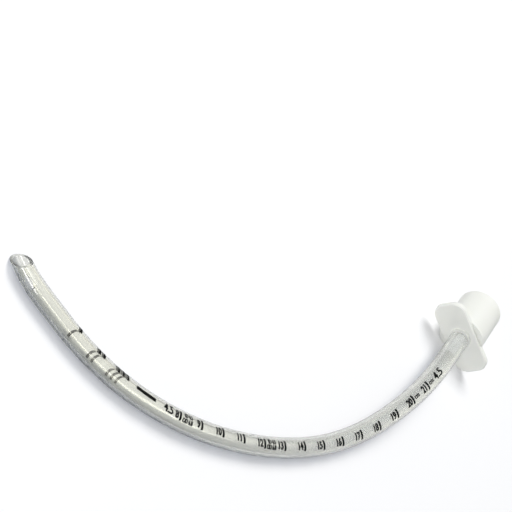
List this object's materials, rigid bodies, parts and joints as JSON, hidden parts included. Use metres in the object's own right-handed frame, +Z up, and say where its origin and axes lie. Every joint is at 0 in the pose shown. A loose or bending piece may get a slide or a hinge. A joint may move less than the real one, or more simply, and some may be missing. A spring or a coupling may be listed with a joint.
{
  "type": "endotracheal tube",
  "caption": "Curved clear breathing tube with a slanted tip and side eye, pushed onto a winged conical connector.",
  "frame": {"origin": "middle of the part's box on the table it lies on", "axes": "+X from the tube's middle towards the connector's mouth, +Z up from the table"},
  "size_m": [0.182, 0.1542, 0.0155],
  "materials": {
    "clear_pvc": "clear, slightly milky extruded PVC",
    "white_polypropylene": "off-white injection-moulded polypropylene"
  },
  "bodies": {
    "root": {"tube": "clear_pvc", "connector": "white_polypropylene"}
  },
  "joints": []
}
